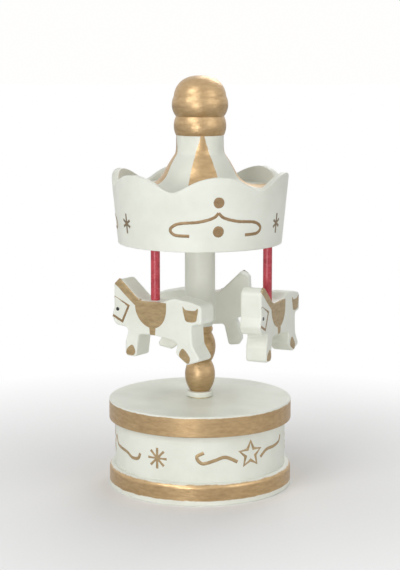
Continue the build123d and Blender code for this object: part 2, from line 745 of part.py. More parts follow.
governor_wheel = shaft_gear(
    X_WORM - WHEEL_T / 2,
    Y_GOV,
    WHEEL_T,
    GOV_SHAFT_R,
    gear_outline(
        FINE_MODULE, GOV_WHEEL_TEETH, 0.25, FINE_DEDENDUM, FINE_BACKLASH + 0.08, phase=0.5
    ),
)
save(governor_wheel, "governor_wheel")

# The thread passes the shafts' height on the side of the governor wheel, three quarters of a
# turn after its start
Z_THREAD = Z_AXIS - WORM_PITCH * (WORM_TURNS // 2 + 0.75)
Z_FAN = Z_AXIS + WORM_PITCH * WORM_TURNS / 2 + 0.9
Z_WORM_TOP = Z_PLATE - END_PLAY

with BuildPart() as governor_worm:
    with BuildSketch(Plane.XY.offset(Z_WORM_STEP)):
        with Locations((X_WORM, Y_WORM)):
            Circle(WORM_SHAFT_R)
    extrude(amount=Z_WORM_TOP - Z_WORM_STEP)
    with BuildSketch(Plane.XY.offset(Z_THREAD - 0.2)):
        with Locations((X_WORM, Y_WORM)):
            Circle(WORM_CORE_R)
    extrude(amount=WORM_PITCH * WORM_TURNS + 0.4)
    with BuildLine() as thread_path:
        Helix(
            pitch=WORM_PITCH,
            height=WORM_PITCH * WORM_TURNS,
            radius=WORM_CORE_R,
            center=(X_WORM, Y_WORM, Z_THREAD),
        )
    thread_start = Plane(
        origin=thread_path.line @ 0, x_dir=(1, 0, 0), z_dir=thread_path.line % 0
    )
    thread_h = WORM_TIP_R - WORM_CORE_R
    with BuildSketch(thread_start):
        with BuildLine():
            Polyline(
                (-0.1, -0.26), (thread_h, -0.11), (thread_h, 0.11), (-0.1, 0.26), close=True
            )
        make_face()
    sweep(path=thread_path.line, is_frenet=True)
save(governor_worm, "governor_worm")

with BuildPart() as governor_fan:
    with BuildSketch(Plane.XY.offset(Z_FAN)):
        with Locations((X_WORM, Y_WORM)):
            Rectangle(2 * FAN_R, FAN_T)
            Circle(WORM_CORE_R)
            Circle(WORM_SHAFT_R, mode=Mode.SUBTRACT)
    extrude(amount=FAN_H)
save(governor_fan, "governor_fan")

# ---- Stem: flange, baluster and column ----------------------------------------------------
with BuildPart() as stem_flange:
    with BuildSketch(Plane.XY.offset(Z_FLANGE)):
        Circle(FLANGE_R)
    extrude(amount=FLANGE_H)
    fillet(stem_flange.edges().filter_by(GeomType.CIRCLE), 0.4)
    with BuildSketch(Plane.XY.offset(Z_FLANGE)):
        Circle(ARBOR_R)
    extrude(amount=FLANGE_H, mode=Mode.SUBTRACT)
save(stem_flange, "stem_flange")

BALL_R = 6.6
BALL_H = 13.2
BALL_FOOT_R = 4.2
WAIST_R = 5.0
VASE_R = 6.85
VASE_H = 14.0
LIP_H = 2.4
Z_WAIST = Z_BALUSTER + BALL_H
Z_LIP = Z_COLUMN - LIP_H

with BuildPart() as baluster:
    with BuildSketch(Plane.XZ):
        with BuildLine():
            ball = ThreePointArc(
                (BALL_FOOT_R, Z_BALUSTER),
                (BALL_R, Z_BALUSTER + BALL_H / 2),
                (WAIST_R, Z_WAIST),
            )
            vase = ThreePointArc(
                ball @ 1,
                (VASE_R, Z_WAIST + VASE_H * 0.45),
                (WAIST_R, Z_LIP - 0.6),
            )
            lip = ThreePointArc(
                vase @ 1, (COLUMN_FOOT_R + 0.2, Z_LIP + LIP_H / 2), (WAIST_R, Z_COLUMN)
            )
            Polyline(lip @ 1, (0, Z_COLUMN), (0, Z_BALUSTER), ball @ 0)
        make_face()
    revolve(axis=Axis.Z)
    with BuildSketch(Plane.XY.offset(Z_BALUSTER)):
        Circle(ARBOR_R)
    extrude(amount=ARBOR_IN_STEM - FLANGE_H, mode=Mode.SUBTRACT)
    with BuildSketch(Plane.XY.offset(Z_COLUMN)):
        Circle(SPIGOT_R)
    extrude(amount=-SPIGOT_L, mode=Mode.SUBTRACT)
save(baluster, "baluster")

with BuildPart() as column:
    with BuildSketch(Plane.XZ):
        with BuildLine():
            foot = Spline(
                (COLUMN_FOOT_R, Z_COLUMN),
                (COLUMN_R, Z_COLUMN + COLUMN_FOOT_H),
                tangents=[(0.3, 1.0), (0.0, 1.0)],
            )
            Polyline(
                foot @ 1,
                (COLUMN_R, Z_FLOOR),
                (SPIGOT_R, Z_FLOOR),
                (SPIGOT_R, Z_CROWN),
                (0, Z_CROWN),
                (0, Z_COLUMN - SPIGOT_L),
                (SPIGOT_R, Z_COLUMN - SPIGOT_L),
                (SPIGOT_R, Z_COLUMN),
                foot @ 0,
            )
        make_face()
    revolve(axis=Axis.Z)
save(column, "column")

# ---- Canopy: floor, crown ring, roof disc, roof cone and finial ---------------------------
POLES = [around(POLE_CIRCLE_R, azimuth) for azimuth in HORSE_AZ]
CROWN_SLOPE = (CROWN_TOP_R - FLOOR_R) / (FLOOR_H + CROWN_PEAK_H)


def crown_r(z):
    """Outer radius of the canopy, which flares upwards from its floor."""
    return FLOOR_R + CROWN_SLOPE * (z - Z_FLOOR)


with BuildPart() as canopy_floor:
    with BuildSketch(Plane.XZ):
        with BuildLine():
            Polyline(
                (0, Z_FLOOR),
                (FLOOR_R, Z_FLOOR),
                (crown_r(Z_CROWN), Z_CROWN),
                (0, Z_CROWN),
                close=True,
            )
        make_face()
    revolve(axis=Axis.Z)
    fillet(canopy_floor.edges().filter_by(GeomType.CIRCLE).sort_by(Axis.Z)[0], ARRIS)
    with BuildSketch(Plane.XY.offset(Z_FLOOR)):
        Circle(SPIGOT_R)
        with Locations(*POLES):
            Circle(POLE_R)
    extrude(amount=FLOOR_H, mode=Mode.SUBTRACT)
save(canopy_floor, "canopy_floor")

SEAT_R = crown_r(Z_LEDGE) - CROWN_WALL  # inside of the rim above the ledge
LEDGE_W = 2.4

with BuildPart() as crown:
    with BuildSketch(Plane.XZ):
        with BuildLine():
            Polyline(
                (SEAT_R - LEDGE_W, Z_CROWN),
                (crown_r(Z_CROWN), Z_CROWN),
                (CROWN_TOP_R, Z_PEAK),
                (CROWN_TOP_R - CROWN_WALL, Z_PEAK),
                (SEAT_R, Z_ROOF),
                (SEAT_R, Z_LEDGE),
                (SEAT_R - LEDGE_W, Z_LEDGE),
                close=True,
            )
        make_face()
    revolve(axis=Axis.Z)
    # Smooth dips between the peaks of the rim
    half_wave = CROWN_TOP_R * math.sin(math.pi / CROWN_WAVES) + 0.3
    for wave in range(CROWN_WAVES):
        dip_az = CROWN_PEAK_AZ + 360 / CROWN_WAVES * (wave + 0.5)
        out_x, out_y = around(1.0, dip_az)
        with BuildSketch(Plane((0, 0, 0), x_dir=(-out_y, out_x, 0), z_dir=(out_x, out_y, 0))):
            with BuildLine():
                dip = Spline(
                    (-half_wave, Z_PEAK),
                    (0, Z_PEAK - CROWN_DIP),
                    (half_wave, Z_PEAK),
                    tangents=[(1, 0), (1, 0)],
                )
                Polyline(dip @ 1, (half_wave, Z_PEAK + 2), (-half_wave, Z_PEAK + 2), dip @ 0)
            make_face()
        extrude(amount=CROWN_TOP_R + 2, mode=Mode.SUBTRACT)
    # Both edges of each wave; the short ones across the rim at its peaks stay as they are
    waves = crown.edges().filter_by(lambda edge: edge.center().Z > Z_ROOF)
    fillet(waves.filter_by(lambda edge: edge.length > 2 * CROWN_WALL), CROWN_ROUND)
save(crown, "crown")

with BuildPart() as roof_disc:
    with BuildSketch(Plane.XY.offset(Z_LEDGE)):
        Circle(SEAT_R - RUN)
        Circle(SPIGOT_R, mode=Mode.SUBTRACT)
    extrude(amount=ROOF_DISC_H)
save(roof_disc, "roof_disc")

# Hollow curve of the roof, as radius and height above its foot
ROOF_PROFILE = [(ROOF_FLARE_R, 0.0), (19.5, 1.9), (16.6, 4.6), (14.2, 8.8), (11.7, 12.8)]

with BuildPart() as roof_cone:
    with BuildSketch(Plane.XZ):
        with BuildLine():
            bell = Spline(
                *[(r, Z_ROOF + z) for r, z in ROOF_PROFILE],
                (ROOF_COLLAR_R, Z_FINIAL - ROOF_COLLAR_H),
                tangents=[(-1.0, 0.12), (0.0, 1.0)],
            )
            Polyline(
                bell @ 1,
                (ROOF_COLLAR_R, Z_FINIAL),
                (0, Z_FINIAL),
                (0, Z_LEDGE),
                (SPIGOT_R, Z_LEDGE),
                (SPIGOT_R, Z_ROOF),
                bell @ 0,
            )
        make_face()
    revolve(axis=Axis.Z)
    with BuildSketch(Plane.XY.offset(Z_FINIAL)):
        Circle(SPIGOT_R)
    extrude(amount=-SPIGOT_L, mode=Mode.SUBTRACT)
save(roof_cone, "roof_cone")

Z_GROOVE = Z_FINIAL + FINIAL_LOWER_H
Z_DOME = Z_GROOVE + FINIAL_UPPER_H

with BuildPart() as finial:
    with BuildSketch(Plane.XZ):
        with BuildLine():
            lower = ThreePointArc(
                (FINIAL_GROOVE_R, Z_FINIAL),
                (FINIAL_LOWER_R, Z_FINIAL + FINIAL_LOWER_H / 2),
                (FINIAL_GROOVE_R, Z_GROOVE),
            )
            upper = ThreePointArc(
                lower @ 1,
                (FINIAL_UPPER_R, Z_GROOVE + FINIAL_UPPER_H / 2),
                (FINIAL_LOWER_R, Z_DOME),
            )
            dome = Spline(
                upper @ 1,
                (FINIAL_LOWER_R * 0.72, Z_DOME + FINIAL_DOME_H * 0.72),
                (0, Z_DOME + FINIAL_DOME_H),
                tangents=[(-0.1, 1.0), (-1.0, 0.0)],
            )
            Polyline(
                dome @ 1,
                (0, Z_FINIAL - SPIGOT_L),
                (SPIGOT_R, Z_FINIAL - SPIGOT_L),
                (SPIGOT_R, Z_FINIAL),
                lower @ 0,
            )
        make_face()
    revolve(axis=Axis.Z)
save(finial, "finial")

# ---- Horses and poles ---------------------------------------------------------------------
# Outline of one board-cut horse, its nose towards +x: distance ahead of the pole, then height
# above the saddle, and the radius of the corner there
HORSE_OUTLINE = [
    (18.6, 6.2, 2.6),
    (15.2, 8.8, 2.2),
    (4.8, 0.3, 4.5),
    (-5.5, 0.1, 4.0),
    (-12.4, 2.6, 5.0),
    (-20.6, 1.8, 4.0),
    (-26.6, 0.5, 2.2),
    (-26.6, -7.2, 1.6),
    (-21.4, -8.0, 1.6),
    (-22.0, -16.5, 4.0),
    (-26.2, -22.4, 1.4),
    (-19.4, -24.8, 1.8),
    (-13.4, -20.6, 1.6),
    (-14.8, -15.6, 2.0),
    (-3.2, -14.2, 6.0),
    (5.6, -14.4, 1.6),
    (7.0, -24.3, 1.4),
    (12.8, -24.3, 1.8),
    (12.6, -18.0, 3.0),
    (10.6, -12.2, 1.8),
    (17.8, -11.4, 2.2),
    (19.8, -8.0, 1.8),
    (18.5, -4.0, 1.4),
]


def horse_plane(pole_place, z_saddle, nose_az, tip):
    """Plane of a horse's board at its pole: x towards the nose, y up."""
    nose_x, nose_y = around(math.cos(math.radians(tip)), nose_az)
    side_x, side_y = around(1.0, nose_az - 90)
    return Plane(
        origin=(*pole_place, z_saddle),
        x_dir=(nose_x, nose_y, math.sin(math.radians(tip))),
        z_dir=(side_x, side_y, 0),
    )


for number, pole_place in enumerate(POLES, start=1):
    z_saddle = Z_SADDLE - HORSE_DROP[number - 1]
    nose_az = HORSE_AZ[number - 1] - 90 + HORSE_TURN[number - 1]
    board_plane = horse_plane(pole_place, z_saddle, nose_az, HORSE_TIP[number - 1])
    z_pole = z_saddle - POLE_IN_HORSE
    with BuildPart() as horse:
        with BuildSketch(board_plane):
            with BuildLine():
                FilletPolyline(
                    *[(u, v) for u, v, _ in HORSE_OUTLINE],
                    radius=[corner for _, _, corner in HORSE_OUTLINE],
                    close=True,
                )
            make_face()
        extrude(amount=HORSE_T / 2, both=True)
        broad_faces = horse.faces().sort_by(SortBy.AREA)[-2:]
        fillet(broad_faces.edges(), HORSE_ROUND)
        with BuildSketch(Plane.XY.offset(z_pole)):
            with Locations(pole_place):
                Circle(POLE_R)
        extrude(amount=2 * POLE_IN_HORSE, mode=Mode.SUBTRACT)
    save(horse, "horse_" + str(number))

    with BuildPart() as pole:
        with BuildSketch(Plane.XY.offset(z_pole)):
            with Locations(pole_place):
                Circle(POLE_R)
        extrude(amount=Z_CROWN - z_pole)
    save(pole, "pole_" + str(number))
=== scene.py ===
import json
import math

import bmesh
import bpy
from mathutils import Matrix, Vector
from mathutils.bvhtree import BVHTree


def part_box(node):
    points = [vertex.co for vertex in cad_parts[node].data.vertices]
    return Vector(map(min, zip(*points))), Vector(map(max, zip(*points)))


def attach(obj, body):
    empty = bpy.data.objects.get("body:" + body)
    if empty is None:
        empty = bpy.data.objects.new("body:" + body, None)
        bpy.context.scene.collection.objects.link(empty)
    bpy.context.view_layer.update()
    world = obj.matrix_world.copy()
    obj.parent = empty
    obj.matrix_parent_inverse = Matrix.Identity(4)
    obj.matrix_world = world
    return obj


# Dresses the wind-up carousel: painted wood, brushed gold ornament, crimson poles and the
# bright metal of the movement. Metres, +Z up, the front faces -Y. An azimuth runs from the
# front towards +X, and flat ornament is drawn in millimetres before it is laid on its piece.

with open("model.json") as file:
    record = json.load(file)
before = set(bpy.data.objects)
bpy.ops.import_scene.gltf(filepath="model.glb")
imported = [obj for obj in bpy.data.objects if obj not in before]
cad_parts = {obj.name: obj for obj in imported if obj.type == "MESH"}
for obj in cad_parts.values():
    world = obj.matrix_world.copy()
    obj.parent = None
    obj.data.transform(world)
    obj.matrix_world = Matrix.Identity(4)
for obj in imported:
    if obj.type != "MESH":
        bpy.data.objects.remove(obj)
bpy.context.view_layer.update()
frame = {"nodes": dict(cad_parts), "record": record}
NODES = frame["nodes"]
MM = 0.001
RELIEF = 0.09  # height of a painted line over its ground
LAYER_LIFT = 0.006  # how much higher each further field of paint lies
EYE_RELIEF = 0.12  # height of the eyes over the board
SUNK = 0.02  # how far a field of paint reaches into its ground
HORSES = (1, 2, 3)


def low(node):
    """Lowest corner of a node."""
    return Vector(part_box(node)[0])


def high(node):
    """Highest corner of a node."""
    return Vector(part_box(node)[1])


def radius(node):
    """Half the width of a round node, in millimetres."""
    return (high(node).x - low(node).x) / 2 / MM


def rim_radius(node):
    """Largest distance of a node from the axis, in millimetres."""
    return max(math.hypot(v.co.x, v.co.y) for v in NODES[node].data.vertices) / MM


def top(node):
    """Height of a node's top, in millimetres."""
    return high(node).z / MM


def bottom(node):
    """Height of a node's underside, in millimetres."""
    return low(node).z / MM


# ---- Shader building blocks ---------------------------------------------------------------
COAT_ROUGHNESS = 0.25


class Recipe:
    """One procedural material on object coordinates, with short calls for its nodes."""

    def __init__(self, name):
        self.material = bpy.data.materials.new(name)
        self.material.use_nodes = True
        self.nodes = self.material.node_tree.nodes
        self.links = self.material.node_tree.links
        self.shader = self.nodes["Principled BSDF"]
        self.place = self.nodes.new("ShaderNodeTexCoord").outputs["Object"]

    def put(self, socket, value):
        """Feeds a socket with a link or sets it to a value."""
        if isinstance(value, bpy.types.NodeSocket):
            self.links.new(value, socket)
        else:
            socket.default_value = value

    def math(self, operation, *values):
        """Result of a Math node."""
        node = self.nodes.new("ShaderNodeMath")
        node.operation = operation
        for socket, value in zip(node.inputs, values):
            self.put(socket, value)
        return node.outputs[0]

    def noise(self, scale, detail=4.0, roughness=0.55, stretch=(1, 1, 1)):
        """Grey noise; stretch above 1 makes it finer along that axis."""
        mapping = self.nodes.new("ShaderNodeMapping")
        mapping.inputs["Scale"].default_value = stretch
        self.links.new(self.place, mapping.inputs["Vector"])
        node = self.nodes.new("ShaderNodeTexNoise")
        node.inputs["Scale"].default_value = scale
        node.inputs["Detail"].default_value = detail
        node.inputs["Roughness"].default_value = roughness
        self.links.new(mapping.outputs["Vector"], node.inputs["Vector"])
        return node.outputs["Fac"]

    def spread(self, value, from_low, from_high, to_low=0.0, to_high=1.0):
        """Value moved from one range to another, held at the ends."""
        node = self.nodes.new("ShaderNodeMapRange")
        self.put(node.inputs["Value"], value)
        for name, number in (
            ("From Min", from_low),
            ("From Max", from_high),
            ("To Min", to_low),
            ("To Max", to_high),
        ):
            self.put(node.inputs[name], number)
        return node.outputs["Result"]

    def blend(self, share, first, second):
        """Colour between two colours."""
        node = self.nodes.new("ShaderNodeMix")
        node.data_type = "RGBA"
        self.put(node.inputs["Factor"], share)
        self.put(node.inputs["A"], first if not isinstance(first, tuple) else (*first, 1))
        self.put(node.inputs["B"], second if not isinstance(second, tuple) else (*second, 1))
        return node.outputs["Result"]

    def level(self, share, first, second):
        """Number between two numbers."""
        node = self.nodes.new("ShaderNodeMix")
        self.put(node.inputs["Factor"], share)
        self.put(node.inputs["A"], first)
        self.put(node.inputs["B"], second)
        return node.outputs["Result"]

    def axes(self):
        """The three coordinates, apart."""
        node = self.nodes.new("ShaderNodeSeparateXYZ")
        self.links.new(self.place, node.inputs[0])
        return node.outputs

    def relief(self, height, depth, strength=1.0):
        """Bump from a grey height; depth is in metres."""
        node = self.nodes.new("ShaderNodeBump")
        node.inputs["Strength"].default_value = strength
        node.inputs["Distance"].default_value = depth
        self.put(node.inputs["Height"], height)
        self.links.new(node.outputs["Normal"], self.shader.inputs["Normal"])

    def finish(self, colour, roughness, metallic=0.0, coat=0.0):
        """Connects the main sockets."""
        if isinstance(colour, tuple):
            colour = (*colour, 1)
        self.put(self.shader.inputs["Base Color"], colour)
        self.put(self.shader.inputs["Roughness"], roughness)
        self.put(self.shader.inputs["Metallic"], metallic)
        self.shader.inputs["Coat Weight"].default_value = coat
        self.shader.inputs["Coat Roughness"].default_value = COAT_ROUGHNESS
        return self.material


# ---- Finishes -----------------------------------------------------------------------------
IVORY_LIGHT = (0.84, 0.86, 0.78)
IVORY_DARK = (0.77, 0.785, 0.70)
GOLD_LIGHT = (0.58, 0.41, 0.225)
GOLD_DARK = (0.44, 0.295, 0.15)
LINE_LIGHT = (0.40, 0.27, 0.14)
LINE_DARK = (0.25, 0.16, 0.075)
DRUM_LINE_LIGHT = (0.52, 0.38, 0.21)
DRUM_LINE_DARK = (0.36, 0.25, 0.125)
# Paint of the crown's small stars, darker than the other lines: painted shade for the dark look
# the stars take on at a grazing angle
STAR_LINE_LIGHT = (0.28, 0.20, 0.11)
STAR_LINE_DARK = (0.17, 0.12, 0.065)
TACK_LIGHT = (0.50, 0.37, 0.20)
TACK_DARK = (0.33, 0.23, 0.11)
MIDTONES = (0.3, 0.7)  # the part of a noise's range that holds nearly all of its values
IVORY_ROUGH = (0.34, 0.50)
GOLD_ROUGH = (0.30, 0.40)
BAND_METAL = 0.85  # how metallic the gold bands and roof stripes are


def ivory_colour(recipe):
    """Warm white brushed paint with faint cloudy patches."""
    clouds = recipe.noise(55.0, 5.0)
    return recipe.blend(recipe.spread(clouds, 0.32, 0.62), IVORY_DARK, IVORY_LIGHT)


def gold_colour(recipe, dark=GOLD_DARK, light=GOLD_LIGHT):
    """Antique gold paint, streaked where the brush left it thin."""
    streaks = recipe.noise(260.0, 6.0, 0.6, stretch=(1.0, 1.0, 3.2))
    return recipe.blend(recipe.spread(streaks, *MIDTONES), dark, light)


def painted_wood(name, mask=None):
    """Ivory paint, with gold where the mask function says so."""
    recipe = Recipe(name)
    brush = recipe.noise(420.0, 5.0, 0.6, stretch=(1.0, 1.0, 2.2))
    recipe.relief(brush, 0.00025, 0.35)
    ivory_rough = recipe.spread(brush, *MIDTONES, *IVORY_ROUGH)
    if mask is None:
        return recipe.finish(ivory_colour(recipe), ivory_rough, 0.0)
    share = mask(recipe)
    return recipe.finish(
        recipe.blend(share, ivory_colour(recipe), gold_colour(recipe)),
        recipe.level(share, ivory_rough, recipe.spread(brush, *MIDTONES, *GOLD_ROUGH)),
        recipe.level(share, 0.0, BAND_METAL),
    )


EDGE_BLUR = 0.00035  # metres over which one paint gives way to the next
EDGE_WAVER = 0.0009  # metres by which a hand-painted border wanders in all


def soft_edge(recipe, value, edge):
    """1 above an edge and 0 below it, with a slightly uneven hand-painted border."""
    wander = recipe.noise(260.0, 3.0)
    waver = recipe.math("MULTIPLY_ADD", wander, EDGE_WAVER, -EDGE_WAVER / 2)
    moved = recipe.math("ADD", value, waver)
    return recipe.spread(moved, edge - EDGE_BLUR / 2, edge + EDGE_BLUR / 2)


def band_mask(z_low, z_high):
    """Gold between two heights, in millimetres."""

    def mask(recipe):
        z = recipe.axes()[2]
        above = soft_edge(recipe, z, z_low * MM)
        below = recipe.math("SUBTRACT", 1.0, soft_edge(recipe, z, z_high * MM))
        return recipe.math("MULTIPLY", above, below)

    return mask


ROOF_STRIPES = 4
ROOF_STRIPE_AZ = 6.0
STRIPE_TOP_Z = top("roof_cone") - 0.5
STRIPE_FOOT_Z = bottom("roof_cone") + 6.5
STRIPE_TOP_HALF = 0.9
STRIPE_FOOT_HALF = 7.0
BRIM_R = 19.0
BRIM_SPREAD = 0.25  # how much a stripe's half width grows for each step out over the brim


def roof_mask(recipe):
    """Gold wedges that widen down the roof and run out over the brim."""
    x, y, z = recipe.axes()
    across = recipe.math("ARCTAN2", x, recipe.math("MULTIPLY", y, -1.0))
    turned = recipe.math("SUBTRACT", across, math.radians(ROOF_STRIPE_AZ))
    half_turn = math.pi / ROOF_STRIPES
    off_centre = recipe.math("ABSOLUTE", recipe.math("WRAP", turned, half_turn, -half_turn))
    squares = recipe.math("ADD", recipe.math("MULTIPLY", x, x), recipe.math("MULTIPLY", y, y))
    reach = recipe.math("SQRT", squares)
    down = recipe.spread(
        z, STRIPE_TOP_Z * MM, STRIPE_FOOT_Z * MM, STRIPE_TOP_HALF * MM, STRIPE_FOOT_HALF * MM
    )
    past_brim = recipe.math("MAXIMUM", recipe.math("SUBTRACT", reach, BRIM_R * MM), 0.0)
    half = recipe.math("MULTIPLY_ADD", past_brim, BRIM_SPREAD, down)
    room = recipe.math("SUBTRACT", half, recipe.math("MULTIPLY", off_centre, reach))
    return soft_edge(recipe, room, 0.0)


def gold_paint(name, shine=0.8, dark=GOLD_DARK, light=GOLD_LIGHT):
    """Gold paint over turned wood."""
    recipe = Recipe(name)
    brush = recipe.noise(380.0, 6.0, 0.62, stretch=(1.0, 1.0, 2.4))
    recipe.relief(brush, 0.0004, 0.5)
    colour = gold_colour(recipe, dark, light)
    return recipe.finish(colour, recipe.spread(brush, *MIDTONES, *GOLD_ROUGH), shine)


def gloss_crimson(name):
    """Crimson gloss paint on the dowels."""
    recipe = Recipe(name)
    patch = recipe.noise(240.0, 4.0)
    dark, light = (0.40, 0.028, 0.045), (0.58, 0.06, 0.085)
    colour = recipe.blend(recipe.spread(patch, *MIDTONES), dark, light)
    recipe.relief(patch, 0.0001, 0.3)
    return recipe.finish(colour, recipe.spread(patch, *MIDTONES, 0.22, 0.34), 0.0, 0.3)


def turned_metal(name, light, dark, rough=0.3, grain=(1.0, 1.0, 6.0)):
    """Bright metal with fine tool marks."""
    recipe = Recipe(name)
    marks = recipe.noise(900.0, 3.0, 0.6, stretch=grain)
    colour = recipe.blend(recipe.spread(marks, *MIDTONES), dark, light)
    recipe.relief(marks, 0.00003, 0.25)
    roughness = recipe.spread(marks, *MIDTONES, rough - 0.06, rough + 0.08)
    return recipe.finish(colour, roughness, 1.0)


def black_plastic(name):
    """Matt moulded plastic of the air fan."""
    recipe = Recipe(name)
    grain = recipe.noise(1500.0, 2.0)
    colour = recipe.blend(grain, (0.03, 0.03, 0.032), (0.055, 0.055, 0.055))
    recipe.relief(grain, 0.00002, 0.3)
    return recipe.finish(colour, recipe.spread(grain, *MIDTONES, 0.45, 0.6))


def eye_paint(name):
    """Black paint of the eyes."""
    recipe = Recipe(name)
    grain = recipe.noise(1200.0, 2.0)
    return recipe.finish(recipe.blend(grain, (0.012, 0.011, 0.010), (0.03, 0.027, 0.025)), 0.35)


# Heights of the gold bands on the base's two discs
TOP_BAND_LOW = bottom("top_disc") - 1.0
TOP_BAND_HIGH = top("top_disc") - 0.8
FOOT_BAND_LOW = 2.2
FOOT_BAND_HIGH = top("foot_disc") - 0.6

IVORY = painted_wood("ivory_paint")
GOLD = gold_paint("gold_paint")
GOLD_LINE = gold_paint("gold_line_paint", 0.35, LINE_DARK, LINE_LIGHT)
DRUM_LINE = gold_paint("drum_line_paint", 0.45, DRUM_LINE_DARK, DRUM_LINE_LIGHT)
# The small stars' paint is darkened as painted shade
SHADED_STAR_LINE = gold_paint("star_line_painted_shade", 0.35, STAR_LINE_DARK, STAR_LINE_LIGHT)
TACK_GOLD = gold_paint("tack_gold_paint", 0.3, TACK_DARK, TACK_LIGHT)
CRIMSON = gloss_crimson("crimson_paint")
TOP_DISC_PAINT = painted_wood("ivory_and_gold_top", band_mask(TOP_BAND_LOW, TOP_BAND_HIGH))
FOOT_PAINT = painted_wood("ivory_and_gold_foot", band_mask(FOOT_BAND_LOW, FOOT_BAND_HIGH))
ROOF_PAINT = painted_wood("ivory_and_gold_roof", roof_mask)
BRASS = turned_metal("brass", (0.82, 0.62, 0.30), (0.66, 0.47, 0.20), 0.28)
STEEL = turned_metal("steel", (0.66, 0.66, 0.68), (0.50, 0.50, 0.53), 0.3)
SPRING_STEEL = turned_metal("spring_steel", (0.36, 0.39, 0.45), (0.24, 0.26, 0.31), 0.24)
CAST_ZINC = turned_metal("cast_zinc", (0.60, 0.60, 0.60), (0.46, 0.46, 0.47), 0.48, (1, 1, 1))
FAN_BLACK = black_plastic("fan_plastic")
EYE_BLACK = eye_paint("eye_paint")

FINISH_OF_SLOT = {
    "ivory_paint": IVORY,
    "gold_paint": GOLD,
    "crimson_paint": CRIMSON,
    "brass": BRASS,
    "steel": STEEL,
    "spring_steel": SPRING_STEEL,
    "cast_zinc": CAST_ZINC,
    "fan_plastic": FAN_BLACK,
}
OWN_FINISH = {
    "top_disc": TOP_DISC_PAINT,
    "foot_disc": FOOT_PAINT,
    "roof_cone": ROOF_PAINT,
    "roof_disc": ROOF_PAINT,
}


def paint_nodes():
    """Gives every CAD node the finish of its slot, or its own."""
    for part in frame["record"]["subparts"]:
        node = NODES[part["node"]]
        finish = OWN_FINISH.get(part["node"], FINISH_OF_SLOT[part["material_slot"]])
        node.data.materials.clear()
        node.data.materials.append(finish)


# ---- Painted lines: drawn flat, given width by Geometry Nodes, then laid on their piece ----
LINE_INPUTS = (
    ("Geometry", "Geometry"),
    ("Line Width", "Float"),
    ("Paint Height", "Float"),
    ("Wall Radius", "Float"),
    ("Wall Height", "Float"),
    ("Wall Flare", "Float"),
    ("Repeats", "Int"),
    ("Paint", "Material"),
)
BRUSH_SIDES = 8


